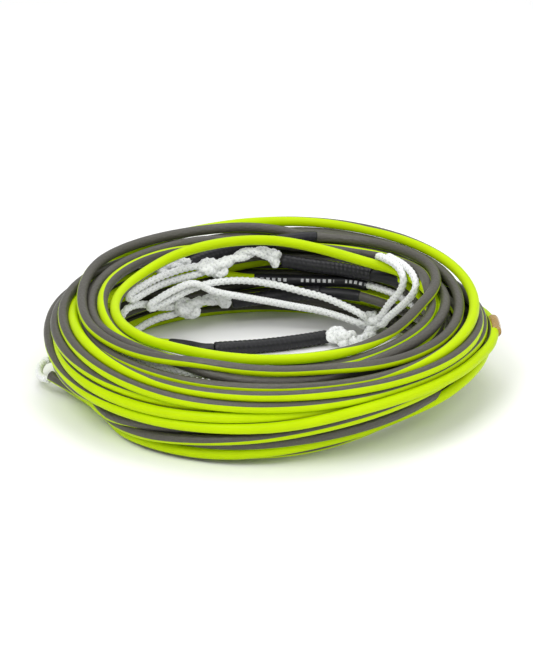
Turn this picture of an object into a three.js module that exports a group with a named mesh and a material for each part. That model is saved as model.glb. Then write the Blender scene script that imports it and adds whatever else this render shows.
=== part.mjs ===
// A coiled water-ski tow rope: a coated main line and three take-off sections, each section ending in a
// heat-shrunk sleeve, a braided neck, a stop knot and a hitching loop. Millimetres, +Z up, resting on z = 0.
import * as THREE from 'three';

// Driving dimensions
const LINE_D = 7.0;            // coated line
const BRAID_D = 4.6;           // white hollow braid of the loops
const NECK_D = 6.0;            // doubled braid between two knots
const RIBBED_D = 9.4;          // heat-shrunk sleeve over the spliced line
const COLLAR_D = 8.0;          // smooth end of that sleeve
const LABEL_D = 8.4;           // plain sleeve over the splice of the boat loop
const MARKER_D = 8.0;          // short translucent length marker
const GAP = 0.3;               // clearance between neighbouring pieces
const COIL_CENTRE = [-3.5, -2];
const COIL_SEGMENTS = 48;
const TUBE_SIDES = 8;
const SLEEVE_SIDES = 12;
const STEP_DIAMETERS = 2.5;    // length of one tube step, in diameters

// Heights of the three layers of the coil
const BASE_TOP = 7.4;
const MAIN_TOP = 54.5;
const CROWN_TOP = 62;

// Profiles of the coils as [radius, height], each closed on itself
const PROFILES = {
  section_a_coil: [[127, 0], [140, 0], [142, 2], [142, 5.4], [140, BASE_TOP], [127, BASE_TOP], [125, 5.4], [125, 2]],
  main_line_coil: [
    [123, BASE_TOP + GAP], [140, BASE_TOP + GAP], [145.5, 13], [147, 20], [147, 27],
    [142.5, 28], [142.5, 42], [147, 43], [146, 50], [141, MAIN_TOP], [127, MAIN_TOP], [121.5, 50], [121.5, 18],
  ],
  main_line_top_coil: [
    [139, MAIN_TOP + GAP], [144, MAIN_TOP + GAP], [149, 57], [150, 59.5], [148, CROWN_TOP], [140, CROWN_TOP],
    [138.4, 60], [138.4, 56.4],
  ],
  section_c_coil: [[142.8, 28.6], [146.2, 28.4], [147.6, 31], [147.6, 39], [146.2, 41.8], [142.8, 41.6]],
};

// Routes of the cords and sleeves, each a list of points along the middle
const ROUTES = {
  main_line_lead: [[88.8, 66.2, 46.7], [92.4, 60.6, 46.2], [96, 54, 45.5]],
  main_line_collar: [[69.5, 84.4, 44.3], [78.2, 76.8, 45.4], [88, 67.2, 46.5]],
  main_line_ribbed_sleeve: [[6.8, 107.2, 46.6], [26, 105.2, 44], [47, 98.2, 43.7], [68.6, 85.2, 44.2]],
  main_line_neck: [[-3.2, 101.8, 53.4], [-7, 101, 55.2], [-13, 99.6, 56], [-21, 97.6, 54.6], [-28, 95.8, 52]],
  main_line_loop: [
    [-52, 87.4, 50], [-61, 83.4, 50], [-71.3, 77, 48.8], [-82.4, 68, 47.2], [-92.6, 57, 45], [-98.4, 50.5, 42.6],
    [-98.6, 49, 40], [-95, 51.6, 39.4], [-89, 59.4, 40.6], [-76, 73, 42.4], [-64.5, 81.5, 43], [-53, 86.4, 44.4],
  ],
  boat_end_lead: [[-36, 110.6, 33], [-24.6, 112, 31.8], [-13.4, 112.6, 31]],
  boat_end_label_sleeve: [[-12.7, 112.6, 30.9], [8.5, 112.4, 30.2], [33, 107, 31.5], [54.2, 98.2, 34.2], [65.6, 90.6, 34.8]],
  boat_end_loop: [[66.1, 90.3, 34.9], [74.6, 84, 34.6], [84.5, 74.3, 34.2], [93.4, 63, 32.6], [98, 56, 31.6]],
  section_a_lead: [[-71.8, 55.6, 4.7], [-86, 57.6, 5.2], [-98, 56, 6.6], [-106, 48, 8.6]],
  section_a_collar: [[-40.8, 45.4, 4.9], [-47.6, 45.8, 4.8], [-59, 51.6, 4.7], [-71.2, 55.4, 4.6]],
  section_a_ribbed_sleeve: [[-39.6, 45.6, 5.2], [-9, 50.6, 5.3], [15.2, 57.8, 5.4], [37.4, 66, 5.8]],
  section_a_neck: [[56.4, 57.6, 4.9], [59, 59.6, 4.2], [62.6, 64.4, 4], [66, 71, 4.4], [67.6, 74.6, 5]],
  section_a_long_loop: [
    [61.6, 74, 19.2], [50.1, 81.8, 22.5], [37, 88.9, 25.7], [18.9, 94.9, 28.6], [2.1, 97.3, 32.2],
    [-16.1, 95.2, 36], [-32.7, 88.4, 38.6], [-46, 84, 38], [-60, 77.8, 35], [-71, 70.6, 31.4], [-79.5, 64.2, 29.4],
    [-84.6, 58.4, 29.6], [-85, 57.4, 32.4], [-79.3, 62.6, 35], [-68.7, 70.4, 38.6], [-56, 76, 41.6],
    [-40.3, 81.2, 33.4], [-20.9, 86.6, 27.4], [-3.5, 90, 22.8], [13.3, 89.6, 19.6], [31.4, 86.2, 17.4],
    [48.1, 80.6, 14.6], [59.6, 75.6, 12.4],
  ],
  section_a_short_loop: [
    [74.4, 74, 17.4], [80.7, 64, 31.7], [87.1, 54.9, 44], [89.3, 51.4, 54], [86, 57.2, 60.2], [78, 68.6, 62.2],
    [73.6, 77.2, 61.2], [73.2, 83.6, 57.6], [75.4, 86.4, 54.6], [79.2, 85, 55.6], [79.9, 79.8, 59.8],
    [82.4, 71.6, 61.6], [90.2, 59.8, 60.8], [95.4, 49, 58.2], [97.4, 40.5, 54], [96, 38.6, 50], [92.9, 44.5, 42.4], [86, 56.7, 30], [78.6, 67.6, 18.4], [76.4, 73.6, 12.4],
  ],
  section_b_throat: [[-80, 77, 50.2], [-74, 83.2, 50.8], [-66.8, 89.6, 50.8], [-58.8, 94.6, 49.8]],
  section_b_ribbed_sleeve: [
    [-57.8, 94.8, 49.6], [-41.6, 104.4, 52.6], [-26.6, 109, 54.8], [-12.6, 111, 57.2], [1.6, 113.4, 59],
  ],
  section_b_collar: [[2.6, 113.6, 59.2], [11, 116.2, 59.6], [20, 118.8, 59.8], [30.2, 120.1, 59.8]],
  section_b_line: [
    [30.8, 120.1, 59.6], [42, 120, 59], [54.1, 117, 59], [64.5, 112.4, 59.5], [75.6, 105, 60], [88.3, 94, 60.2],
    [101, 76.4, 60.5], [107.9, 60, 61], [110.6, 39.9, 61.6], [109.7, 19.6, 62.2], [104.7, -0.9, 62.6],
    [97.3, -19.2, 62.6], [91, -37, 62.4], [82.7, -54.9, 62], [73, -72.4, 62], [62.3, -86.1, 62], [45, -101, 62],
    [24.8, -109.7, 62], [6.3, -113, 62], [-14.6, -112.6, 62], [-30.5, -109, 62], [-46.5, -102.2, 62],
    [-62.7, -92.9, 62], [-78, -81.4, 61.5], [-90.6, -66, 61.5], [-99, -49, 61], [-104, -31, 61],
    [-105, -14, 61], [-103.6, 2.5, 60.6], [-99.6, 18.6, 60.4], [-92.9, 36.2, 60.4], [-84, 53, 61],
    [-74.3, 66.6, 62.4], [-64, 77, 63.6], [-50.6, 86.4, 64.6], [-33.4, 94, 65.4], [-16, 97.4, 65.8],
    [1.4, 97.8, 65.4], [18.8, 95.4, 63.4], [36.1, 91, 60.6], [53.3, 85.6, 57.4], [70.5, 78, 54.6], [88.4, 65.4, 54.6],
    [98, 51, 52.8],
  ],
  section_b_tail_loop: [
    [-110, -56.3, 52.3], [-101.4, -70.5, 52.3], [-90.9, -83.5, 52.3], [-78.7, -94.9, 52.3],
    [-65, -104.4, 52.3], [-48.3, -112.8, 52.3], [-26.3, -119.3, 52.3],
  ],
  section_c_lead: [[61.4, 86, 28.2], [71.6, 80, 27.6], [82.5, 73, 26.2], [90.6, 65.4, 24.4]],
  section_c_collar: [[33.8, 98.6, 26], [46.8, 93.4, 27.2], [60.9, 86.3, 28.1]],
  section_c_ribbed_sleeve: [[-28.2, 102.9, 17.4], [-12.7, 105.1, 18.6], [8.4, 104.8, 21.8], [32.9, 99.1, 26.1]],
  section_c_neck: [[-41.4, 96.6, 21.8], [-45, 95, 22.2], [-48.4, 93.2, 21.6]],
  section_c_loop: [
    [-69.8, 83.6, 21], [-78.6, 74.4, 24.6], [-89, 62.6, 31.2], [-96.6, 53, 33.8], [-101.6, 48, 32],
    [-104.4, 47.6, 26], [-103.4, 52.4, 19.4], [-99.6, 58.6, 13.4], [-94.6, 64.6, 11.4], [-88, 70.6, 13.6],
    [-78.6, 77, 15.6], [-70, 83.6, 15.4],
  ],
  section_c_tail_loop: [
    [-151, 8.6, 12.4], [-154.6, 8.8, 11], [-157, 3.6, 9.4], [-157.2, -5.4, 8.8], [-155, -14.4, 9],
    [-151.6, -20.6, 10.4], [-149.6, -24.4, 11.6],
  ],
  main_line_outer_bight: [[145.6, -29.6, 38.2], [147, -23.2, 38.8], [148, -16.6, 39.3], [148.5, -9.7, 39.6]],
  marker_sleeve: [[148.5, -9.3, 39.6], [148.6, -2, 39.8], [148.4, 4.6, 40], [147.9, 11.3, 40]],
};

// Knots: centre, half lengths and the heading of the longest one in degrees
const KNOTS = {
  main_line_stop_knot: { at: [1, 103.9, 50.2], half: [4, 4.4, 6.2], heading: 0 },
  main_line_loop_knot: { at: [-40, 91.4, 47.8], half: [11, 5.2, 6.2], heading: 20 },
  section_a_stop_knot: { at: [47, 62, 7.6], half: [8.4, 6, 7.2], heading: -16 },
  section_a_loop_knot: { at: [69, 81.6, 9.6], half: [7.4, 6.4, 7.4], heading: -40 },
  section_c_stop_knot: { at: [-34.6, 100, 20], half: [5.4, 4.2, 5], heading: 25 },
  section_c_loop_knot: { at: [-59.2, 89, 19], half: [10, 5.6, 7.2], heading: 32 },
};

const material = (colour, roughness) => new THREE.MeshStandardMaterial({ color: colour, roughness, metalness: 0 });
const COATED_LINE = material(0xc3dc08, 0.38);
const WHITE_BRAID = material(0xf1f3f1, 0.75);
const BLACK_SHRINK = material(0x15161a, 0.45);
const AMBER_TUBE = material(0xb98a25, 0.3);

const group = new THREE.Group();

function add(name, geometry, finish) {
  const mesh = new THREE.Mesh(geometry, finish);
  mesh.name = name;
  group.add(mesh);
  return mesh;
}

// A round coil: its profile turned about the coil's own axis
function coil(name) {
  const profile = PROFILES[name].map(([radius, height]) => new THREE.Vector2(radius, height));
  profile.push(profile[0].clone());
  const ring = add(name, new THREE.LatheGeometry(profile, COIL_SEGMENTS), COATED_LINE);
  ring.rotation.x = Math.PI / 2;
  ring.position.set(COIL_CENTRE[0], COIL_CENTRE[1], 0);
}

// A cord or sleeve: a regular polygon swept along a smooth curve through its route
function tube(name, diameter, finish, sides = TUBE_SIDES) {
  const route = new THREE.CatmullRomCurve3(ROUTES[name].map((point) => new THREE.Vector3(...point)), false, 'centripetal');
  const section = new THREE.Shape();
  for (let side = 0; side < sides; side += 1) {
    const angle = (2 * Math.PI * side) / sides;
    const corner = [(diameter / 2) * Math.cos(angle), (diameter / 2) * Math.sin(angle)];
    if (side === 0) section.moveTo(...corner);
    else section.lineTo(...corner);
  }
  section.closePath();
  const steps = Math.max(3, Math.ceil(route.getLength() / (STEP_DIAMETERS * diameter)));
  add(name, new THREE.ExtrudeGeometry(section, { steps, extrudePath: route, bevelEnabled: false }), finish);
}

// The outer shape of a tightened knot
function knot(name) {
  const { at, half, heading } = KNOTS[name];
  const lump = new THREE.SphereGeometry(1, 14, 10);
  lump.scale(...half);
  const mesh = add(name, lump, WHITE_BRAID);
  mesh.rotation.z = THREE.MathUtils.degToRad(heading);
  mesh.position.set(...at);
}

Object.keys(PROFILES).forEach(coil);
Object.keys(KNOTS).forEach(knot);

for (const name of ['main_line_lead', 'boat_end_lead', 'section_a_lead', 'section_c_lead',
  'section_b_line', 'main_line_outer_bight']) tube(name, LINE_D, COATED_LINE);

for (const name of ['main_line', 'section_a', 'section_b', 'section_c']) {
  tube(`${name}_collar`, COLLAR_D, BLACK_SHRINK, SLEEVE_SIDES);
  tube(`${name}_ribbed_sleeve`, RIBBED_D, BLACK_SHRINK, SLEEVE_SIDES);
}
tube('boat_end_label_sleeve', LABEL_D, BLACK_SHRINK, SLEEVE_SIDES);
tube('marker_sleeve', MARKER_D, AMBER_TUBE, SLEEVE_SIDES);

for (const name of ['main_line_loop', 'boat_end_loop', 'section_a_long_loop', 'section_a_short_loop',
  'section_b_tail_loop', 'section_c_loop', 'section_c_tail_loop']) tube(name, BRAID_D, WHITE_BRAID);

for (const name of ['main_line_neck', 'section_a_neck', 'section_b_throat', 'section_c_neck']) {
  tube(name, NECK_D, WHITE_BRAID);
}

// The origin is under the middle of the whole rope
group.updateMatrixWorld(true);
const middle = new THREE.Box3().setFromObject(group, true).getCenter(new THREE.Vector3());
group.position.set(-middle.x, -middle.y, 0);

export default group;
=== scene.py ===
"""A coiled water-ski tow rope: a coated main line, three take-off sections, their heat-shrunk sleeves,
braided loops and knots, lying on a pale floor."""
import math

import bmesh
import bpy
import numpy as np
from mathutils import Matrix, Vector


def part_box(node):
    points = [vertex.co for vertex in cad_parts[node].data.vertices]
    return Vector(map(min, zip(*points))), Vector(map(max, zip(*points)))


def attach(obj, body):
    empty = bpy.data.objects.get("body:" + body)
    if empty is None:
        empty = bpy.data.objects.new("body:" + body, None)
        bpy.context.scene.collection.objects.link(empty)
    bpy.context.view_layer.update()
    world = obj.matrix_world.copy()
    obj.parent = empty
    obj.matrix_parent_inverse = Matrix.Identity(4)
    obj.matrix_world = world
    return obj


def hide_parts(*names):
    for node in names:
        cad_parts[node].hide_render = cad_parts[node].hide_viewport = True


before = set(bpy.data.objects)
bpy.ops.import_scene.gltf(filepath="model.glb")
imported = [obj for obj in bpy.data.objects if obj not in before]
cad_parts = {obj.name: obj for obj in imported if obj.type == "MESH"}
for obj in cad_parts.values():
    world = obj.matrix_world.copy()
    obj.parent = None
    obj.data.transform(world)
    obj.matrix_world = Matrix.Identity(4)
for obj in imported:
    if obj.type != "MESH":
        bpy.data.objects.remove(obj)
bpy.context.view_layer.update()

# Sizes, in metres
LINE_D = 0.007
BRAID_D = 0.0046
NECK_D = 0.006
RIBBED_D = 0.0094
COLLAR_D = 0.008
LABEL_D = 0.0084
MARKER_D = 0.008
RIB_PITCH = 0.0034

# The coil's centre in the routes below, whose own origin is a little right of it and behind it
COIL_CENTRE = np.array([-0.0035, -0.002])
LOW, HIGH = (np.array(corner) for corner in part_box("main_line_coil"))
SHIFT = np.append(((LOW + HIGH) / 2)[:2] - COIL_CENTRE, 0)

# Where the cords and sleeves lie, as points along the middle
ROUTES = {
    "main_line_lead": [(0.0888, 0.0662, 0.0467), (0.0924, 0.0606, 0.0462), (0.096, 0.054, 0.0455)],
    "main_line_collar": [(0.0695, 0.0844, 0.0443), (0.0782, 0.0768, 0.0454), (0.088, 0.0672, 0.0465)],
    "main_line_ribbed_sleeve": [
        (0.0068, 0.1072, 0.0466), (0.026, 0.1052, 0.044), (0.047, 0.0982, 0.0437),
        (0.0686, 0.0852, 0.0442),
    ],
    "main_line_neck": [
        (-0.0032, 0.1018, 0.0534), (-0.007, 0.101, 0.0552), (-0.013, 0.0996, 0.056),
        (-0.021, 0.0976, 0.0546), (-0.028, 0.0958, 0.052),
    ],
    "main_line_loop": [
        (-0.052, 0.0874, 0.05), (-0.061, 0.0834, 0.05), (-0.0713, 0.077, 0.0488),
        (-0.0824, 0.068, 0.0472), (-0.0926, 0.057, 0.045), (-0.0984, 0.0505, 0.0426),
        (-0.0986, 0.049, 0.04), (-0.095, 0.0516, 0.0394), (-0.089, 0.0594, 0.0406),
        (-0.076, 0.073, 0.0424), (-0.0645, 0.0815, 0.043), (-0.053, 0.0864, 0.0444),
    ],
    "boat_end_lead": [(-0.036, 0.1106, 0.033), (-0.0246, 0.112, 0.0318), (-0.0134, 0.1126, 0.031)],
    "boat_end_label_sleeve": [
        (-0.0127, 0.1126, 0.0309), (0.0085, 0.1124, 0.0302), (0.033, 0.107, 0.0315),
        (0.0542, 0.0982, 0.0342), (0.0656, 0.0906, 0.0348),
    ],
    "boat_end_loop": [
        (0.0661, 0.0903, 0.0349), (0.0746, 0.084, 0.0346), (0.0845, 0.0743, 0.0342),
        (0.0934, 0.063, 0.0326), (0.098, 0.056, 0.0316),
    ],
    "section_a_lead": [
        (-0.0718, 0.0556, 0.0047), (-0.086, 0.0576, 0.0052), (-0.098, 0.056, 0.0066),
        (-0.106, 0.048, 0.0086),
    ],
    "section_a_collar": [
        (-0.0408, 0.0454, 0.0049), (-0.0476, 0.0458, 0.0048), (-0.059, 0.0516, 0.0047),
        (-0.0712, 0.0554, 0.0046),
    ],
    "section_a_ribbed_sleeve": [
        (-0.0396, 0.0456, 0.0052), (-0.009, 0.0506, 0.0053), (0.0152, 0.0578, 0.0054),
        (0.0374, 0.066, 0.0058),
    ],
    "section_a_neck": [
        (0.0564, 0.0576, 0.0049), (0.059, 0.0596, 0.0042), (0.0626, 0.0644, 0.004),
        (0.066, 0.071, 0.0044), (0.0676, 0.0746, 0.005),
    ],
    "section_a_long_loop": [
        (0.0616, 0.074, 0.0192), (0.0501, 0.0818, 0.0225), (0.037, 0.0889, 0.0257),
        (0.0189, 0.0949, 0.0286), (0.0021, 0.0973, 0.0322), (-0.0161, 0.0952, 0.036),
        (-0.0327, 0.0884, 0.0386), (-0.046, 0.084, 0.038), (-0.06, 0.0778, 0.035),
        (-0.071, 0.0706, 0.0314), (-0.0795, 0.0642, 0.0294), (-0.0846, 0.0584, 0.0296),
        (-0.085, 0.0574, 0.0324), (-0.0793, 0.0626, 0.035), (-0.0687, 0.0704, 0.0386),
        (-0.056, 0.076, 0.0416), (-0.0403, 0.0812, 0.0334), (-0.0209, 0.0866, 0.0274),
        (-0.0035, 0.09, 0.0228), (0.0133, 0.0896, 0.0196), (0.0314, 0.0862, 0.0174),
        (0.0481, 0.0806, 0.0146), (0.0596, 0.0756, 0.0124),
    ],
    "section_a_short_loop": [
        (0.0744, 0.074, 0.0174), (0.0807, 0.064, 0.0317), (0.0871, 0.0549, 0.044),
        (0.0893, 0.0514, 0.054), (0.086, 0.0572, 0.0602), (0.078, 0.0686, 0.0622),
        (0.0736, 0.0772, 0.0612), (0.0732, 0.0836, 0.0576), (0.0754, 0.0864, 0.0546),
        (0.0792, 0.085, 0.0556), (0.0799, 0.0798, 0.0598), (0.0824, 0.0716, 0.0616),
        (0.0902, 0.0598, 0.0608), (0.0954, 0.049, 0.0582), (0.0974, 0.0405, 0.054),
        (0.096, 0.0386, 0.05), (0.0929, 0.0445, 0.0424), (0.086, 0.0567, 0.03), (0.0786, 0.0676, 0.0184),
        (0.0764, 0.0736, 0.0124),
    ],
    "section_b_throat": [
        (-0.08, 0.077, 0.0502), (-0.074, 0.0832, 0.0508), (-0.0668, 0.0896, 0.0508),
        (-0.0588, 0.0946, 0.0498),
    ],
    "section_b_ribbed_sleeve": [
        (-0.0578, 0.0948, 0.0496), (-0.0416, 0.1044, 0.0526), (-0.0266, 0.109, 0.0548),
        (-0.0126, 0.111, 0.0572), (0.0016, 0.1134, 0.059),
    ],
    "section_b_collar": [
        (0.0026, 0.1136, 0.0592), (0.011, 0.1162, 0.0596), (0.02, 0.1188, 0.0598),
        (0.0302, 0.1201, 0.0598),
    ],
    "section_b_line": [
        (0.0308, 0.1201, 0.0596), (0.042, 0.12, 0.059), (0.0541, 0.117, 0.059), (0.0645, 0.1124, 0.0595),
        (0.0756, 0.105, 0.06), (0.0883, 0.094, 0.0602), (0.101, 0.0764, 0.0605), (0.1079, 0.06, 0.061),
        (0.1106, 0.0399, 0.0616), (0.1097, 0.0196, 0.0622), (0.1047, -0.0009, 0.0626),
        (0.0973, -0.0192, 0.0626), (0.091, -0.037, 0.0624), (0.0827, -0.0549, 0.062),
        (0.073, -0.0724, 0.062), (0.0623, -0.0861, 0.062), (0.045, -0.101, 0.062),
        (0.0248, -0.1097, 0.062), (0.0063, -0.113, 0.062), (-0.0146, -0.1126, 0.062),
        (-0.0305, -0.109, 0.062), (-0.0465, -0.1022, 0.062), (-0.0627, -0.0929, 0.062),
        (-0.078, -0.0814, 0.0615), (-0.0906, -0.066, 0.0615), (-0.099, -0.049, 0.061),
        (-0.104, -0.031, 0.061), (-0.105, -0.014, 0.061), (-0.1036, 0.0025, 0.0606),
        (-0.0996, 0.0186, 0.0604), (-0.0929, 0.0362, 0.0604), (-0.084, 0.053, 0.061),
        (-0.0743, 0.0666, 0.0624), (-0.064, 0.077, 0.0636), (-0.0506, 0.0864, 0.0646),
        (-0.0334, 0.094, 0.0654), (-0.016, 0.0974, 0.0658), (0.0014, 0.0978, 0.0654),
        (0.0188, 0.0954, 0.0634), (0.0361, 0.091, 0.0606), (0.0533, 0.0856, 0.0574),
        (0.0705, 0.078, 0.0546), (0.0884, 0.0654, 0.0546), (0.098, 0.051, 0.0528),
    ],
    "section_b_tail_loop": [
        (-0.11, -0.0563, 0.0523), (-0.1014, -0.0705, 0.0523), (-0.0909, -0.0835, 0.0523),
        (-0.0787, -0.0949, 0.0523), (-0.065, -0.1044, 0.0523), (-0.0483, -0.1128, 0.0523),
        (-0.0263, -0.1193, 0.0523),
    ],
    "section_c_lead": [
        (0.0614, 0.086, 0.0282), (0.0716, 0.08, 0.0276), (0.0825, 0.073, 0.0262),
        (0.0906, 0.0654, 0.0244),
    ],
    "section_c_collar": [(0.0338, 0.0986, 0.026), (0.0468, 0.0934, 0.0272), (0.0609, 0.0863, 0.0281)],
    "section_c_ribbed_sleeve": [
        (-0.0282, 0.1029, 0.0174), (-0.0127, 0.1051, 0.0186), (0.0084, 0.1048, 0.0218),
        (0.0329, 0.0991, 0.0261),
    ],
    "section_c_neck": [(-0.0414, 0.0966, 0.0218), (-0.045, 0.095, 0.0222), (-0.0484, 0.0932, 0.0216)],
    "section_c_loop": [
        (-0.0698, 0.0836, 0.021), (-0.0786, 0.0744, 0.0246), (-0.089, 0.0626, 0.0312),
        (-0.0966, 0.053, 0.0338), (-0.1016, 0.048, 0.032), (-0.1044, 0.0476, 0.026),
        (-0.1034, 0.0524, 0.0194), (-0.0996, 0.0586, 0.0134), (-0.0946, 0.0646, 0.0114),
        (-0.088, 0.0706, 0.0136), (-0.0786, 0.077, 0.0156), (-0.07, 0.0836, 0.0154),
    ],
    "section_c_tail_loop": [
        (-0.151, 0.0086, 0.0124), (-0.1546, 0.0088, 0.011), (-0.157, 0.0036, 0.0094),
        (-0.1572, -0.0054, 0.0088), (-0.155, -0.0144, 0.009), (-0.1516, -0.0206, 0.0104),
        (-0.1496, -0.0244, 0.0116),
    ],
    "main_line_outer_bight": [
        (0.1456, -0.0296, 0.0382), (0.147, -0.0232, 0.0388), (0.148, -0.0166, 0.0393),
        (0.1485, -0.0097, 0.0396),
    ],
    "marker_sleeve": [
        (0.1485, -0.0093, 0.0396), (0.1486, -0.002, 0.0398), (0.1484, 0.0046, 0.04),
        (0.1479, 0.0113, 0.04),
    ],
}

# Knots: centre, half lengths, and the heading of the longest one in degrees
KNOTS = {
    "main_line_stop_knot": ((0.001, 0.1039, 0.0502), (0.004, 0.0044, 0.0062), 0),
    "main_line_loop_knot": ((-0.04, 0.0914, 0.0478), (0.011, 0.0052, 0.0062), 20),
    "section_a_stop_knot": ((0.047, 0.062, 0.0076), (0.0084, 0.006, 0.0072), -16),
    "section_a_loop_knot": ((0.069, 0.0816, 0.0096), (0.0074, 0.0064, 0.0074), -40),
    "section_c_stop_knot": ((-0.0346, 0.1, 0.02), (0.0054, 0.0042, 0.005), 25),
    "section_c_loop_knot": ((-0.0592, 0.089, 0.019), (0.01, 0.0056, 0.0072), 32),
}

# ---------------------------------------------------------------- camera

CAMERA_ELEVATION = math.radians(22)
CAMERA_DISTANCE = 2.1
AIM_HEIGHT = 0.03
aim = np.array([0, 0, AIM_HEIGHT]) + SHIFT
lens = bpy.data.cameras.new("camera")
lens.lens = 169.1
lens.sensor_width = 36
lens.shift_x = -0.0098
lens.shift_y = 0.0105
camera = bpy.data.objects.new("camera", lens)
bpy.context.scene.collection.objects.link(camera)
back = np.array([0, -math.cos(CAMERA_ELEVATION), math.sin(CAMERA_ELEVATION)])
camera.location = aim + CAMERA_DISTANCE * back
camera.rotation_euler = (math.pi / 2 - CAMERA_ELEVATION, 0, 0)
bpy.context.scene.camera = camera

# ---------------------------------------------------------------- smooth curves


def spaced(line, step):
    """The line again with its points evenly spaced, about one step apart."""
    along = np.concatenate([[0], np.cumsum(np.linalg.norm(np.diff(line, axis=0), axis=1))])
    at = np.linspace(0, along[-1], max(4, round(along[-1] / step) + 1))
    return np.stack([np.interp(at, along, line[:, k]) for k in range(line.shape[1])], axis=1)


def curve(points, step):
    """A centripetal Catmull-Rom curve through the points."""
    p = np.array(points, float)
    p = np.vstack([2 * p[0] - p[1], p, 2 * p[-1] - p[-2]])
    out = []
    for a, b, c, d in zip(p, p[1:], p[2:], p[3:]):
        chords = [np.linalg.norm(v - u) for u, v in ((a, b), (b, c), (c, d))]
        t1, t2, t3 = np.cumsum([max(chord, 1e-6) ** 0.5 for chord in chords])
        t = np.linspace(t1, t2, 12, endpoint=False)[:, None]
        ab = (t1 - t) / t1 * a + t / t1 * b
        bc = (t2 - t) / (t2 - t1) * b + (t - t1) / (t2 - t1) * c
        cd = (t3 - t) / (t3 - t2) * c + (t - t2) / (t3 - t2) * d
        abc = (t2 - t) / t2 * ab + t / t2 * bc
        bcd = (t3 - t) / (t3 - t1) * bc + (t - t1) / (t3 - t1) * cd
        out.append((t2 - t) / (t2 - t1) * abc + (t - t1) / (t2 - t1) * bcd)
    return spaced(np.vstack(out + [p[-2:-1]]), step)


def route(name, step=0.003):
    return curve(ROUTES[name], step)


def polar(points):
    """Azimuth in degrees, height and radius about the coil's axis."""
    across = points[:, :2] - COIL_CENTRE
    azimuth = np.degrees(np.arctan2(across[:, 1], across[:, 0]))
    return azimuth, points[:, 2], np.hypot(across[:, 0], across[:, 1])


def from_polar(azimuth, height, radius):
    a = np.radians(azimuth)
    x = COIL_CENTRE[0] + radius * np.cos(a)
    y = COIL_CENTRE[1] + radius * np.sin(a)
    return np.stack([x, y, height], axis=1)


# ---------------------------------------------------------------- the coil
# A place on the face of the bundle is one number, in line diameters from the floor, up the outside and over
# the top. It may be followed by a depth below that face, also in diameters. A pair made by at() is a height
# and a radius, in millimetres. Each turn has 12 places, evenly round the coil from azimuth 120 on.

PLACES = 12
FIRST_PLACE = 120
PLANES = 144
STEP_DEGREES = 360 / PLANES
SEAM = 105
FACE_HEIGHT = [0.0035, 0.012, 0.020, 0.031, 0.040, 0.046, 0.051, 0.0545, 0.0575, 0.059]
FACE_RADIUS = [0.136, 0.1415, 0.145, 0.146, 0.1455, 0.143, 0.137, 0.128, 0.119, 0.112]
FACE_STEPS = np.hypot(np.diff(FACE_HEIGHT), np.diff(FACE_RADIUS))
FACE_AT = np.concatenate([[0], np.cumsum(FACE_STEPS)]) / LINE_D


def at(height, radius):
    return ("at", height / 1000, radius / 1000)


def place(spec):
    """Height and radius of a place."""
    if isinstance(spec, tuple) and spec[0] == "at":
        return spec[1:]
    s, depth = spec if isinstance(spec, tuple) else (spec, 0)
    below, here, above = (
        [np.interp(x, FACE_AT, face) for face in (FACE_HEIGHT, FACE_RADIUS)] for x in (s - 0.4, s, s + 0.4))
    dz, dr = above[0] - below[0], above[1] - below[1]
    length = math.hypot(dz, dr) or 1
    return here[0] + depth * LINE_D * dr / length, here[1] - depth * LINE_D * dz / length


def flat(height, radius, wander=1.5):
    """A turn that stays inside the bundle, with a little wander."""
    return [at(height + wander * math.sin(k + height), radius + wander * math.cos(2 * k + radius))
            for k in range(PLACES)]


# Main line, from the boat end to its hitching loop
BIGHT = at(39.6, 152.2)
MAIN_TURNS = [
    flat(40, 123)[:5] + [at(46, 119)] * 3 + flat(40, 123)[8:],
    [at(62.5, 110), at(62, 109.5), at(62.5, 109.3), at(61.5, 111.5), at(56, 113), at(55.5, 113),
     at(57.5, 112.5), at(57.5, 108), at(57.5, 109.3), at(55.5, 119.5), at(53, 126), at(57, 120)],
    [at(59, 124), at(59.5, 122), 10.7, 10.6, 10.6, at(49, 125), at(56, 119.5), at(56.5, 115), at(57, 116.4),
     at(52, 124), at(56, 136), at(61, 136.5)],
    [at(61.5, 139.5), at(63, 135), 10.3, 10, 10, 10.2, 9.1, 8.9, 9.4]
    + [at(58.5, 134.5), at(59.5, 137), at(60, 138)],
    [9, 9.3, 9.6, 8.8, 7.9, 7.85, 7.5, 7.6, at(56.5, 138), at(62.5, 141), at(65, 143), at(65, 143)],
    [at(59.5, 143), at(49, 139), 9, 8.1, 6.9, 6.85, 6.9, 6.9, 6.8, 6.9, 7, 7],
    [7.5, 8, 8.3, 7.2, 6.1, 5.95, (6.2, 0.6), (6.2, 0.8), 6, 6, 6, 6],
    [6.5, 7, 7.5, 6.4, (5.2, 0.5), (5.3, 0.6), (5.3, 1), (5.2, 1), (5.2, 0.8), 5.2, 5.2, 5.2],
    [5.8, 6.2, 6.3, 3.8, 3.4, 4.6, 5.85, 5.7, BIGHT, 4.8, 4.5, 4.4],
    [3.5, 3.5, (4, 0.8), (2, 1), (1.3, 1), (1.4, 0.6), 3.2, 4, 4, 3.5, 3.2, 3],
    [2.5, 2.8, (2.8, 0.5), (1.6, 0.7), 0, 1.3, 3.9, 4.9, (4.9, 0.4), 4, 2.5, 2],
    flat(10.5, 133),
    flat(17.5, 138),
    flat(25, 138),
    flat(32, 138),
    flat(43, 129),
    flat(30, 130),
    flat(24, 131),
    flat(17, 129),
    flat(11, 125),
    flat(22, 124)[:9] + [at(34, 123), at(45.5, 114), at(45.5, 114)],
]
MAIN_END = 29.4 + 360 * len(MAIN_TURNS)
BIGHT_TURN = next(k for k, turn in enumerate(MAIN_TURNS) if BIGHT in turn)

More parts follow.
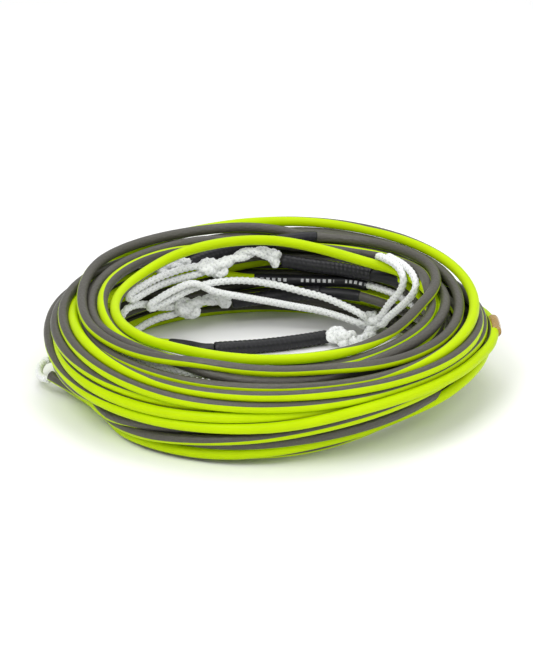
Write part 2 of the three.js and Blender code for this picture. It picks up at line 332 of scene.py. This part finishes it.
# The first section lies on the floor under the bundle, the third lies round its outside
A_START, A_END = 155, 45.9 + 720
A_TURNS = [
    [at(8.6, 114), at(8.6, 114), at(4.5, 124), 0.2, (0, 1), (0.4, 0.8), (1.2, 0.8), (1.2, 0.8), (0.4, 0.8)]
    + [at(4, 130)] * 3,
    [at(3.5, 130), at(3.5, 129), at(3.5, 130), at(3.5, 130), at(3.5, 129), at(4, 130)]
    + [at(9, 129), at(12, 127), at(24, 122), at(42, 117), at(48, 117), at(48, 117)],
]
C_START, C_END = 190, 35.6 + 720
C_TURNS = [
    [at(11.6, 144), at(11.6, 144), at(11.6, 144.5), 2.5, 1.9, 2.85, (4.9, 0.4), (4.8, 0.8), (4.5, 0.5)]
    + [4.2, 4.2, 4.4],
    [5, 6, 6.8, 5.3, 4.4, 5.1, (5, 1.2), (4.5, 2.2), at(30, 124), at(25, 116), at(24, 116), at(24, 116)],
]


# At the right of the front the bundle leans inward at its foot, and rises a little off the floor
LEAN_AZIMUTH = -34
LEAN_SPREAD = 50
LEAN_RISE = 0.009
LEAN_IN = 0.012
LEAN_HEIGHT = 0.045
TUCK = 0.050
TUCK_HEIGHT = 0.028
# At the left of the front its foot is drawn in too
LEFT_AZIMUTH = -152
LEFT_SPREAD = 20
LEFT_TUCK = 0.030
# No turn lies further out than the widest radius, apart from the bight, which is beyond BIGHT_FROM
WIDEST = 0.1468
BIGHT_FROM = 0.1485
# How strongly a turn is pulled to its own place, first and last, and pushed off what it touches
FIRST_PULL, LAST_PULL = 0.10, 0.012
TURN_PUSH, WALL_PUSH = 0.42, 0.5


def targets(turns, start, end, extra=()):
    """Where a cord would like to run: one height and radius for each plane from start to end."""
    keys = [(FIRST_PLACE + 360 * k + 360 / PLACES * i, *place(spec))
            for k, turn in enumerate(turns) for i, spec in enumerate(turn)]
    keys = np.array(sorted(keys + list(extra)))
    azimuth = np.arange(start, end, STEP_DEGREES)
    return azimuth, np.stack([np.interp(azimuth, keys[:, 0], keys[:, k]) for k in (1, 2)], axis=1)


def bight():
    """The wide bight of the main line outside the right of the bundle, with the length marker on it."""
    line = np.vstack([route("main_line_outer_bight"), route("marker_sleeve")])
    azimuth, height, radius = (x[::2] for x in polar(line))
    return list(zip(azimuth + 360 * (BIGHT_TURN + 1), height, radius))


def under_the_crown(turned=129, dip=0.003, out=0.005):
    """The last part of the second section, which runs on under its own crown to its tail loop."""
    azimuth, height, radius = (x[-1] for x in polar(route("section_b_line")))
    t = np.linspace(0, 1, 90)[1:]
    return from_polar(azimuth - turned * t, height - dip * np.sin(math.pi * t), radius + out * t)


# What the turns have to keep clear of, with its diameter
FIXED = {
    "section_b_line": LINE_D,
    "section_b_ribbed_sleeve": RIBBED_D,
    "section_b_collar": COLLAR_D,
    "boat_end_label_sleeve": LABEL_D,
    "main_line_ribbed_sleeve": RIBBED_D,
    "main_line_collar": COLLAR_D,
    "section_c_ribbed_sleeve": RIBBED_D,
    "section_c_collar": COLLAR_D,
    "boat_end_loop": BRAID_D,
    "section_b_throat": NECK_D,
    "section_c_loop": BRAID_D,
    "main_line_loop": BRAID_D,
    "section_b_tail_loop": BRAID_D,
    "section_a_short_loop": BRAID_D,
}


def obstacles():
    """For each plane, the places where something else crosses it: height, radius and clearance."""
    found = [[] for _ in range(PLANES)]
    fixed = [(route(name), diameter) for name, diameter in FIXED.items()]
    for line, diameter in fixed + [(under_the_crown(), LINE_D)]:
        for a, h, r in zip(*polar(line)):
            found[round((a - SEAM) / STEP_DEGREES) % PLANES].append((h, r, (LINE_D + diameter) / 2))
    most = max(map(len, found))
    out = np.full((PLANES, most, 3), np.nan)
    for j, rows in enumerate(found):
        if rows:
            out[j, :len(rows)] = rows
    return out


def near(azimuth, middle, spread):
    """1 at the middle azimuth, falling smoothly to 0 round the coil."""
    return np.exp(-(((azimuth - middle + 180) % 360 - 180) / spread) ** 2)


def push_apart(spots):
    """How far the turns that cross each plane press each other apart."""
    most = spots.shape[1]
    apart = spots[:, :, None] - spots[:, None]
    far = np.sqrt((apart ** 2).sum(-1)) + 1e-9
    over = np.clip(LINE_D * 1.01 - far, 0, None)
    over[np.isnan(over)] = 0
    over[:, range(most), range(most)] = 0
    return np.nansum(apart / far[..., None] * over[..., None], axis=2) * TURN_PUSH


def push_away(spots, walls):
    """How far the obstacles in each plane press the turns away."""
    away = spots[:, :, None] - walls[:, None, :, :2]
    gap = np.sqrt((away ** 2).sum(-1)) + 1e-9
    deep = np.clip(walls[:, None, :, 2] - gap, 0, None)
    deep[np.isnan(deep)] = 0
    return np.nansum(away / gap[..., None] * deep[..., None], axis=2) * WALL_PUSH


def settle(cords, rounds=420):
    """Lets all the turns press each other apart until they lie side by side, as stiff line does."""
    sizes = [len(want) for _, want in cords]
    ends = np.cumsum(sizes)
    starts = ends - sizes
    want = np.vstack([w for _, w in cords])
    plane = np.concatenate([np.round((a - SEAM) / STEP_DEGREES).astype(int) % PLANES for a, _ in cords])
    azimuth = np.concatenate([a for a, _ in cords])
    in_bight = want[:, 1] > BIGHT_FROM
    lean = near(azimuth, LEAN_AZIMUTH, LEAN_SPREAD)
    left = near(azimuth, LEFT_AZIMUTH, LEFT_SPREAD)
    lowest = LINE_D / 2 + LEAN_RISE * lean
    want[:, 1] -= LEAN_IN * lean * np.clip(1 - want[:, 0] / LEAN_HEIGHT, 0, 1)
    members = [np.flatnonzero(plane == j) for j in range(PLANES)]
    most = max(map(len, members))
    table = np.full((PLANES, most), -1)
    for j, rows in enumerate(members):
        table[j, :len(rows)] = rows
    empty = table < 0
    walls = obstacles()
    x = want.copy()
    pinned = np.zeros(len(x), bool)
    for s, e in zip(starts, ends):
        pinned[[s, e - 1]] = True
    pinned |= in_bight
    for turn in range(rounds):
        pull = FIRST_PULL if turn < rounds * 0.6 else LAST_PULL
        x += pull * (want - x)
        for s, e in zip(starts, ends):
            part = x[s:e]
            for _ in range(2):
                part[1:-1] += 0.4 * ((part[:-2] + part[2:]) / 2 - part[1:-1])
        spots = x[table]
        spots[empty] = np.nan
        push = push_apart(spots) + push_away(spots, walls)
        x[table[~empty]] += push[~empty]
        x[:, 0] = np.maximum(x[:, 0], lowest)
        widest = WIDEST - np.clip(1 - x[:, 0] / TUCK_HEIGHT, 0, 1) * (TUCK * lean + LEFT_TUCK * left)
        x[:, 1] = np.where(in_bight, x[:, 1], np.minimum(x[:, 1], widest))
        x[pinned] = want[pinned]
    return [from_polar(a, x[s:e, 0], x[s:e, 1]) for (a, _), s, e in zip(cords, starts, ends)]


main_coil, a_coil, c_coil = settle([
    targets(MAIN_TURNS, SEAM, MAIN_END, bight()),
    targets(A_TURNS, A_START, A_END),
    targets(C_TURNS, C_START, C_END),
])


def joined(*parts):
    """The parts as one line, with the corners at their joins rounded off."""
    line = spaced(np.vstack(parts), 0.0058)
    for _ in range(6):
        line[1:-1] += 0.45 * ((line[:-2] + line[2:]) / 2 - line[1:-1])
    return line


# ---------------------------------------------------------------- tubes


def piece(name, mesh, materials, slot, *nodes):
    thing = bpy.data.objects.new(name, mesh)
    bpy.context.scene.collection.objects.link(thing)
    for material in materials:
        mesh.materials.append(material)
    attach(thing, "root")
    if nodes:
        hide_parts(*nodes)
    return thing


def grown(line, by):
    """The line, longer by that much at each end."""
    first, last = line[0] - line[1], line[-1] - line[-2]
    return np.vstack([line[0] + by * first / np.linalg.norm(first), line,
                      line[-1] + by * last / np.linalg.norm(last)])


def length_of(line):
    return float(np.linalg.norm(np.diff(line, axis=0), axis=1).sum())


def directions(line):
    d = np.gradient(line, axis=0)
    return d / np.linalg.norm(d, axis=1)[:, None]


def carried(line):
    """Two directions across a line that turn as little as possible along it."""
    d = directions(line)
    side = np.cross(d[0], [0, 0, 1.0])
    sides = [side / np.linalg.norm(side)]
    for along in d[1:]:
        s = sides[-1] - along * (sides[-1] @ along)
        sides.append(s / np.linalg.norm(s))
    sides = np.array(sides)
    return sides, np.cross(d, sides)


def about_axis(line):
    """Two directions across a coiled line: outward from the coil's axis, and up."""
    d = directions(line)
    out = np.zeros_like(line)
    out[:, :2] = line[:, :2] - COIL_CENTRE
    up = np.cross(d, out)
    up *= np.sign(up[:, 2:] + 1e-12)
    up /= np.linalg.norm(up, axis=1)[:, None]
    out = np.cross(up, d)
    out *= np.sign((out[:, :2] * (line[:, :2] - COIL_CENTRE)).sum(1))[:, None]
    return out / np.linalg.norm(out, axis=1)[:, None], up


def tube(name, line, radius, sides, axes, turn=None):
    """A closed tube. radius is a number, or a function of the angle round it and the length along it."""
    one, two = axes
    n = len(line)
    along = np.concatenate([[0], np.cumsum(np.linalg.norm(np.diff(line, axis=0), axis=1))])
    angle = np.arange(sides) * 2 * math.pi / sides
    r = radius(angle[None], along[:, None]) if callable(radius) else np.full((n, sides), radius)
    spin = angle[None] + (0 if turn is None else turn[:, None])
    ring = np.cos(spin)[..., None] * one[:, None] + np.sin(spin)[..., None] * two[:, None]
    points = line[:, None] + r[..., None] * ring + SHIFT
    caps = np.array([line[0], line[-1]]) + SHIFT
    verts = np.vstack([points.reshape(-1, 3), caps])
    i, k = np.meshgrid(np.arange(n - 1), np.arange(sides), indexing="ij")
    k2 = (k + 1) % sides
    near_edge, far_edge = i * sides, (i + 1) * sides
    quads = np.stack([near_edge + k, near_edge + k2, far_edge + k2, far_edge + k], -1).reshape(-1, 4)
    k = np.arange(sides)
    k2 = (k + 1) % sides
    first = np.stack([k2, k, np.full(sides, n * sides)], -1)
    last = np.stack([(n - 1) * sides + k, (n - 1) * sides + k2, np.full(sides, n * sides + 1)], -1)
    u = k / sides
    wrapped = np.stack([u, u + 1 / sides, u + 1 / sides, u], -1)
    lengthwise = np.stack([along[:-1], along[:-1], along[1:], along[1:]], -1)[:, None].repeat(sides, 1)
    quad_uv = np.stack([np.broadcast_to(wrapped, lengthwise.shape), lengthwise], -1).reshape(-1, 4, 2)
    first_uv = np.stack([np.stack([u + 1 / sides, u, u], -1), np.zeros((sides, 3))], -1)
    last_uv = np.stack([np.stack([u, u + 1 / sides, u], -1), np.full((sides, 3), along[-1])], -1)
    if np.cross(one[0], two[0]) @ (line[1] - line[0]) < 0:
        quads, first, last, quad_uv, first_uv, last_uv = (
            x[:, ::-1] for x in (quads, first, last, quad_uv, first_uv, last_uv))
    mesh = bpy.data.meshes.new(name)
    mesh.from_pydata(verts.tolist(), [], quads.tolist() + first.tolist() + last.tolist())
    uv = np.vstack([x.reshape(-1, 2) for x in (quad_uv, first_uv, last_uv)])
    mesh.uv_layers.new(name="wrap").data.foreach_set("uv", uv.ravel())
    # How far out each point of the surface stands, from 0 in the hollows to 1 on the ridges; the braid
    # material paints shade into the hollows from it
    relief = np.append((r - r.min()) / max(np.ptp(r), 1e-6), [0.5, 0.5])
    mesh.attributes.new("relief", "FLOAT", "POINT").data.foreach_set("value", relief)
    mesh.polygons.foreach_set("use_smooth", [True] * len(mesh.polygons))
    mesh.update()
    return mesh


# ---------------------------------------------------------------- materials


class Nodes:
    """A material's node tree, built a node at a time."""

    def __init__(self, name):
        self.material = bpy.data.materials.new(name)
        self.material.use_nodes = True
        self.tree = self.material.node_tree
        self.shader = self.tree.nodes["Principled BSDF"]

    def node(self, kind, inputs=(), **settings):
        made = self.tree.nodes.new(kind)
        for key, value in settings.items():
            setattr(made, key, value)
        for key, value in dict(inputs).items():
            if isinstance(value, bpy.types.NodeSocket):
                self.tree.links.new(value, made.inputs[key])
            else:
                made.inputs[key].default_value = value
        return made

    def calc(self, operation, a, b=0.0):
        return self.node("ShaderNodeMath", {0: a, 1: b}, operation=operation).outputs[0]

    def wrap(self):
        """Fraction of the way round the piece, and metres along it."""
        uv = self.node("ShaderNodeUVMap", uv_map="wrap").outputs[0]
        both = self.node("ShaderNodeSeparateXYZ", {0: uv})
        return both.outputs[0], both.outputs[1]

    def noise(self, scale, detail=3.0, vector=None, roughness=0.5):
        inputs = {"Scale": scale, "Detail": detail, "Roughness": roughness}
        inputs["Vector"] = vector or self.node("ShaderNodeTexCoord").outputs["Object"]
        return self.node("ShaderNodeTexNoise", inputs).outputs["Fac"]

    def blend(self, amount, a, b):
        mixed = self.node("ShaderNodeMix", {0: amount, 6: a, 7: b}, data_type="RGBA")
        return mixed.outputs[2]

    def range(self, value, low, high, to_low=0.0, to_high=1.0, smooth=False):
        inputs = {"Value": value, "From Min": low, "From Max": high, "To Min": to_low, "To Max": to_high}
        kind = "SMOOTHSTEP" if smooth else "LINEAR"
        return self.node("ShaderNodeMapRange", inputs, interpolation_type=kind).outputs[0]

    def set(self, colour, roughness, height, distance, strength, **fixed):
        self.tree.links.new(colour, self.shader.inputs["Base Color"])
        self.tree.links.new(roughness, self.shader.inputs["Roughness"])
        bump = self.node("ShaderNodeBump", {"Height": height, "Distance": distance, "Strength": strength})
        self.tree.links.new(bump.outputs[0], self.shader.inputs["Normal"])
        for key, value in fixed.items():
            self.shader.inputs[key.replace("_", " ")].default_value = value
        return self.material


CORE_PITCH = 0.009
FIBRE_PITCH = 0.0011
DASH_PITCH = 0.0042
GROUP_PITCH = 0.034


def coated_line():
    """Satin jacket, one half bright yellow-green and the other warm dark grey, over a braided core."""
    m = Nodes("coated_line")
    u, v = m.wrap()
    wander = m.range(m.noise(14, 1), 0.3, 0.7, -0.10, 0.10)
    side = m.calc("ADD", m.calc("COSINE", m.calc("MULTIPLY", u, 2 * math.pi)), wander)
    yellow = m.range(side, -0.09, 0.05, smooth=True)
    cloud = m.noise(55, 3)
    lime = m.blend(cloud, (0.43, 0.61, 0.0, 1), (0.51, 0.70, 0.0, 1))
    grain = m.noise(900, 2)
    grey = m.blend(cloud, (0.064, 0.061, 0.049, 1), (0.098, 0.093, 0.076, 1))
    grey = m.blend(m.range(grain, 0.3, 0.7, 0, 0.5), grey, (0.045, 0.042, 0.037, 1))
    turns = m.calc("MULTIPLY", v, 2 * math.pi / CORE_PITCH)
    core_a = m.calc("SINE", m.calc("ADD", turns, m.calc("MULTIPLY", u, 16 * math.pi)))
    core_b = m.calc("SINE", m.calc("SUBTRACT", turns, m.calc("MULTIPLY", u, 16 * math.pi)))
    core = m.calc("MULTIPLY", m.calc("MAXIMUM", core_a, core_b), m.range(yellow, 0, 1, 0.9, 0.25))
    height = m.calc("ADD", core, m.calc("MULTIPLY", grain, 0.5))
    roughness = m.range(m.noise(220, 3), 0.25, 0.75, 0.36, 0.5)
    m.tree.links.new(m.range(yellow, 0, 1, 0.42, 0.08), m.shader.inputs["Specular IOR Level"])
    return m.set(m.blend(yellow, grey, lime), roughness, height, 0.00008, 0.7)


def white_braid():
    """Soft white yarn, with fine filaments along each strand, and painted shade in the hollows between the
    strands.
    """
    m = Nodes("white_braid")
    u, v = m.wrap()
    turns = m.calc("MULTIPLY", v, 2 * math.pi / FIBRE_PITCH)
    fibres = [m.calc("SINE", m.calc("ADD", turns, m.calc("MULTIPLY", u, slant)))
              for slant in (26 * math.pi, -26 * math.pi)]
    tuft = m.noise(1500, 2)
    height = m.calc("ADD", m.calc("MULTIPLY", m.calc("MAXIMUM", *fibres), 0.5), tuft)
    colour = m.blend(m.noise(260, 3), (0.86, 0.88, 0.87, 1), (0.95, 0.96, 0.95, 1))
    colour = m.blend(m.range(tuft, 0.35, 0.6, 0.35, 1), (0.70, 0.72, 0.72, 1), colour)
    # Painted shade: where the surface lies deep between the strands, the white is blended towards grey
    relief = m.node("ShaderNodeAttribute", attribute_name="relief").outputs["Fac"]
    colour = m.blend(m.range(relief, 0.05, 0.55, smooth=True), (0.46, 0.48, 0.47, 1), colour)
    roughness = m.range(tuft, 0.3, 0.7, 0.62, 0.8)
    m.shader.inputs["Sheen Roughness"].default_value = 0.5
    return m.set(colour, roughness, height, 0.00016, 0.8, Sheen_Weight=0.25)


def black_shrink():
    """Heat-shrink tube: satin black, with faint scuffs."""
    m = Nodes("black_shrink")
    scuff = m.noise(420, 4)
    colour = m.blend(m.noise(70, 3), (0.006, 0.006, 0.008, 1), (0.014, 0.014, 0.017, 1))
    colour = m.blend(m.range(scuff, 0.58, 0.72, 0, 0.4), colour, (0.035, 0.036, 0.040, 1))
    roughness = m.range(scuff, 0.3, 0.7, 0.34, 0.52)
    return m.set(colour, roughness, scuff, 0.00008, 0.5, Specular_IOR_Level=0.35)


def printed_shrink():
    """The same tube with a row of plain white dashes along it."""
    m = Nodes("printed_shrink")
    u, v = m.wrap()
    scuff = m.noise(420, 4)
    plain = m.blend(m.noise(70, 3), (0.006, 0.006, 0.008, 1), (0.013, 0.013, 0.016, 1))
    row = m.calc("LESS_THAN", m.calc("ABSOLUTE", m.calc("SUBTRACT", u, 0.5)), 0.045)
    dash = m.calc("LESS_THAN", m.calc("FRACT", m.calc("MULTIPLY", v, 1 / DASH_PITCH)), 0.55)
    group = m.calc("LESS_THAN", m.calc("FRACT", m.calc("MULTIPLY", v, 1 / GROUP_PITCH)), 0.74)
    worn = m.calc("MULTIPLY", group, m.range(scuff, 0.3, 0.6, 0.5))
    marks = m.calc("MULTIPLY", m.calc("MULTIPLY", row, dash), worn)
    colour = m.blend(marks, plain, (0.62, 0.63, 0.64, 1))
    return m.set(colour, m.range(scuff, 0.3, 0.7, 0.34, 0.5), scuff, 0.00006, 0.4, Specular_IOR_Level=0.35)


def amber_marker():
    """A short clear amber tube, its colour varying a little at random."""
    m = Nodes("amber_marker")
    cloud = m.noise(160, 3)
    colour = m.blend(cloud, (0.36, 0.19, 0.015, 1), (0.56, 0.33, 0.04, 1))
    return m.set(colour, m.range(cloud, 0.3, 0.7, 0.2, 0.34), cloud, 0.00008, 0.4, Coat_Weight=0.5,
                 Transmission_Weight=0.25)


LINE, BRAID, SHRINK, PRINTED, AMBER = (
    coated_line(), white_braid(), black_shrink(), printed_shrink(), amber_marker())

# ---------------------------------------------------------------- coated line
# The middle of the yellow half, in degrees from straight outward (90 is up), against azimuth.

LINE_SIDES = 14


def coated(name, line, yellow_at, *nodes):
    azimuth = np.degrees(np.unwrap(np.radians(polar(line)[0])))
    azimuth += 360 * round((yellow_at[0][0] - azimuth[0]) / 360)
    keys = sorted(yellow_at)
    turn = np.radians(np.interp(azimuth, [k[0] for k in keys], [k[1] for k in keys]))
    mesh = tube(name, line, LINE_D / 2, LINE_SIDES, about_axis(line), turn)
    return piece(name, mesh, [LINE], "coated_line", *nodes)


def yellow_keys(rows):
    """One row a turn, with an angle every 60 degrees. A turn that is out of sight has no row of its own."""
    keys = []
    for k, row in enumerate(rows):
        row = row or [(97 * k + 31 * i) % 300 - 200 for i in range(6)]
        keys += [(FIRST_PLACE + 360 * k + 60 * i, angle) for i, angle in enumerate(row)]
    return keys


MAIN_YELLOW = [
    None,
    [20, 8, 0, -60, -60, 20],
    [-60, -85, -150, -158, -95, -60],
    [-30, -62, -72, -78, -72, -30],
    [-40, -60, -62, -66, 95, 215],
    [110, 88, -48, -60, -60, -60],
    [-60, -68, -60, -62, -60, -60],
    [-100, -100, -52, -50, -50, -50],
    [-80, -100, -12, 20, 25, 0],
    [-60, -90, -140, -150, -90, 0],
    [0, 0, 6, 0, 10, 60],
] + [None] * 10
A_YELLOW = [None, None]
C_YELLOW = [[-100, -100, -105, -82, -60, -60], [-60, -62, 5, 20, 0, 0]]
# The second section has an angle at each azimuth where its own changes
B_YELLOW = [
    (75, -22), (20, -80), (-38, -84), (-58, -40), (-72, 8), (-90, 22), (-150, 35), (-180, 70), (-210, 112),
    (-240, 150), (-270, 158), (-330, 158), (-420, 120),
]

IN_SLEEVE = 0.003
main_line_path = grown(
    joined(route("boat_end_lead")[::-1], main_coil[1:], route("main_line_lead")[::-1]), IN_SLEEVE)
a_path = grown(joined(route("section_a_lead"), a_coil[1:]), IN_SLEEVE)
b_path = grown(joined(route("section_b_line"), under_the_crown()), IN_SLEEVE)
c_path = grown(joined(c_coil, route("section_c_lead")[::-1]), IN_SLEEVE)

main_line = coated("main_line", main_line_path, yellow_keys(MAIN_YELLOW), "main_line_coil",
                   "main_line_top_coil", "main_line_lead", "main_line_outer_bight", "boat_end_lead")
section_a = coated("section_a_cord", a_path, yellow_keys(A_YELLOW), "section_a_coil", "section_a_lead")
section_b = coated("section_b_cord", b_path, B_YELLOW, "section_b_line")
section_c = coated("section_c_cord", c_path, yellow_keys(C_YELLOW), "section_c_coil", "section_c_lead")

# ---------------------------------------------------------------- braid, sleeves and knots


# The side of a sleeve that its print is on, and how many faces a sleeve has round it
SLEEVE_FACE = np.array([0, -0.93, 0.37])
SLEEVE_SIDES = 24
STRANDS = 3
BRAID_STEP = 0.0007
BRAID_SIDES = 20
KNOT_STEP = 0.0006


def braided(radius, pitch, depth):
    """The radius of a braid: strands wound each way, passing over and under each other."""
    def at_angle(angle, along):
        a = STRANDS * (angle - 2 * math.pi * along / pitch) / 2
        b = STRANDS * (angle + 2 * math.pi * along / pitch) / 2
        weave = 0.35 * np.sin(a) * np.sin(b)
        ridge = np.maximum(np.abs(np.sin(a)) * (1 + weave), np.abs(np.sin(b)) * (1 - weave))
        return radius + depth * (ridge - 0.8)
    return at_angle


def tied(name, *knot_names):
    """A braid's route, carried on into the middle of the knot at its start, and of the one at its end."""
    ends = [KNOTS[k][0] if k else None for k in knot_names]
    points = ([ends[0]] if ends[0] else []) + ROUTES[name] + ([ends[1]] if ends[1] else [])
    return curve(points, 0.003)


def braid(name, line):
    line = spaced(line, BRAID_STEP)
    shape = braided(BRAID_D / 2, 2.6 * BRAID_D, 0.17 * BRAID_D)
    mesh = tube(name, line, shape, BRAID_SIDES, carried(line))
    return piece(name + "_braid", mesh, [BRAID], "white_braid", name)


def doubled(name, line, twist=0.030, apart=0.0019):
    """Two braids laid side by side, with one slow turn in each length of twist."""
    line = spaced(line, BRAID_STEP)
    one, two = carried(line)
    along = np.linspace(0, length_of(line), len(line))
    spin = (along / twist * 2 * math.pi)[:, None]
    off = (np.cos(spin) * one + np.sin(spin) * two) * apart
    shape = braided(BRAID_D / 2, 0.0115, 0.0011)
    strands = (line + off, line - off)
    halves = [tube(name, strand, shape, BRAID_SIDES, carried(strand)) for strand in strands]
    return piece(name + "_braid", merged(name, halves), [BRAID], "white_braid", name)


def merged(name, meshes):
    """One mesh of several."""
    work = bmesh.new()
    for mesh in meshes:
        work.from_mesh(mesh)
    out = bpy.data.meshes.new(name)
    work.to_mesh(out)
    work.free()
    return out


def sleeve(name, diameter, rib=0.0, material=SHRINK, step=0.0008):
    """A heat-shrunk sleeve, drawn in a little at both ends, with slanting ribs if it grips a whipping."""
    line = spaced(grown(route(name, step), 0.0006), step)
    length = length_of(line)
    one, two = carried(line)
    turn = np.arctan2(two @ SLEEVE_FACE, one @ SLEEVE_FACE) - math.pi

    def radius(angle, along):
        from_end = np.minimum(along, length - along)
        ridge = np.abs(np.sin(1.5 * angle - math.pi * along / RIB_PITCH)) ** 0.8 - 0.7
        return diameter / 2 + rib * ridge - 0.0005 * np.exp(-from_end / 0.0008)
    mesh = tube(name, line, radius, SLEEVE_SIDES, (one, two), turn)
    return piece(name + "_shrink", mesh, [material], "black_shrink", name)


def knot(name, swell=1.2, off_floor=0.0008, thickest=0.0056, pitch=0.011):
    """A tightened overhand knot in the braid, tied over a core of the same braid."""
    middle, half, heading = KNOTS[name]
    half = np.minimum(swell * np.array(half), [1, 1, middle[2] - off_floor])
    strand = min(0.95 * min(half), thickest)
    t = np.linspace(0, 2 * math.pi, 240)
    along, across, up = np.sin(t) + 2 * np.sin(2 * t), np.sin(3 * t) * 2.2, np.cos(t) - 2 * np.cos(2 * t)
    loops = np.stack([along, across, up], axis=1)
    loops *= (half - strand / 2) / np.abs(loops).max(axis=0)
    turn = math.radians(heading)
    spin = np.array([[math.cos(turn), -math.sin(turn), 0], [math.sin(turn), math.cos(turn), 0], [0, 0, 1]])
    line = spaced(loops @ spin.T + np.array(middle), KNOT_STEP)
    wraps = tube(name, line, braided(strand / 2, pitch, 0.2 * strand), BRAID_SIDES, carried(line))
    reach, girth = 0.75 * half[0], 0.6 * min(half[1:])
    inside = spaced(np.array(middle) + np.outer([-reach, reach], spin[:, 0]), KNOT_STEP)
    weave = braided(girth, pitch, 0.0009)

    def swelling(angle, along):
        return weave(angle, along) * np.sqrt(np.sin(math.pi * (along + 0.001) / (2 * reach + 0.002)))
    core = tube(name, inside, swelling, BRAID_SIDES, carried(inside))
    return piece(name + "_braid", merged(name, [wraps, core]), [BRAID], "white_braid", name)


SECTIONS = ("main_line", "section_a", "section_b", "section_c")
sleeves = {name: sleeve(f"{name}_ribbed_sleeve", RIBBED_D, 0.0005) for name in SECTIONS}
collars = {name: sleeve(f"{name}_collar", COLLAR_D) for name in SECTIONS}
label_sleeve = sleeve("boat_end_label_sleeve", LABEL_D, material=PRINTED)
marker_line = route("marker_sleeve", 0.001)
marker_mesh = tube("marker_sleeve", marker_line, MARKER_D / 2, BRAID_SIDES, carried(marker_line))
marker = piece("marker_tube", marker_mesh, [AMBER], "amber_marker", "marker_sleeve")
knots = {name: knot(name) for name in KNOTS}
LOOPS = {
    "main_line_loop": tied("main_line_loop", "main_line_loop_knot", "main_line_loop_knot"),
    "boat_end_loop": grown(route("boat_end_loop"), IN_SLEEVE),
    "section_a_long_loop": tied("section_a_long_loop", "section_a_loop_knot", "section_a_loop_knot"),
    "section_a_short_loop": tied("section_a_short_loop", "section_a_loop_knot", "section_a_loop_knot"),
    "section_b_tail_loop": route("section_b_tail_loop"),
    "section_c_loop": tied("section_c_loop", "section_c_loop_knot", "section_c_loop_knot"),
    "section_c_tail_loop": route("section_c_tail_loop"),
}
loops = {name: braid(name, line) for name, line in LOOPS.items()}
NECKS = {
    "main_line_neck": tied("main_line_neck", "main_line_stop_knot", "main_line_loop_knot"),
    "section_a_neck": tied("section_a_neck", "section_a_stop_knot", "section_a_loop_knot"),
    "section_b_throat": route("section_b_throat"),
    "section_c_neck": tied("section_c_neck", "section_c_stop_knot", "section_c_loop_knot"),
}
necks = {name: doubled(name, line) for name, line in NECKS.items()}

# ---------------------------------------------------------------- a cord's end, as a point in the scene


def end(points):
    return tuple(float(x) for x in points + SHIFT)


# ---------------------------------------------------------------- floor and light

floor_mesh = bpy.data.meshes.new("floor")
FLOOR_REACH = 6
floor_corners = [(x * FLOOR_REACH, y * FLOOR_REACH, 0) for x, y in ((-1, -1), (1, -1), (1, 1), (-1, 1))]
floor_mesh.from_pydata(floor_corners, [], [(0, 1, 2, 3)])
floor = bpy.data.objects.new("floor", floor_mesh)
bpy.context.scene.collection.objects.link(floor)
paper = Nodes("paper")
floor_mesh.materials.append(paper.set(
    paper.blend(paper.noise(2, 2), (0.90, 0.90, 0.90, 1), (0.92, 0.92, 0.92, 1)),
    paper.range(paper.noise(30, 2), 0.3, 0.7, 0.85, 0.95), paper.noise(400, 2), 0.0001, 0.1))

world = bpy.data.worlds.new("studio")
world.use_nodes = True
background = world.node_tree.nodes["Background"]
background.inputs["Color"].default_value = (1, 1, 1, 1)
background.inputs["Strength"].default_value = 0.62
bpy.context.scene.world = world


def soft_box(name, position, size, power):
    """A square area light that faces the rope."""
    data = bpy.data.lights.new(name, "AREA")
    data.energy = power
    data.size = size
    thing = bpy.data.objects.new(name, data)
    thing.location = position
    toward_rope = Vector((0, 0, AIM_HEIGHT)) - Vector(position)
    thing.rotation_euler = toward_rope.to_track_quat("-Z", "Y").to_euler()
    bpy.context.scene.collection.objects.link(thing)


soft_box("key", (-0.7, -0.9, 1.5), 1.0, 16)
soft_box("fill", (1.0, -0.8, 1.0), 1.2, 8)
soft_box("top", (0.1, 0.6, 1.6), 1.2, 10)

bpy.context.scene.view_settings.view_transform = "Standard"
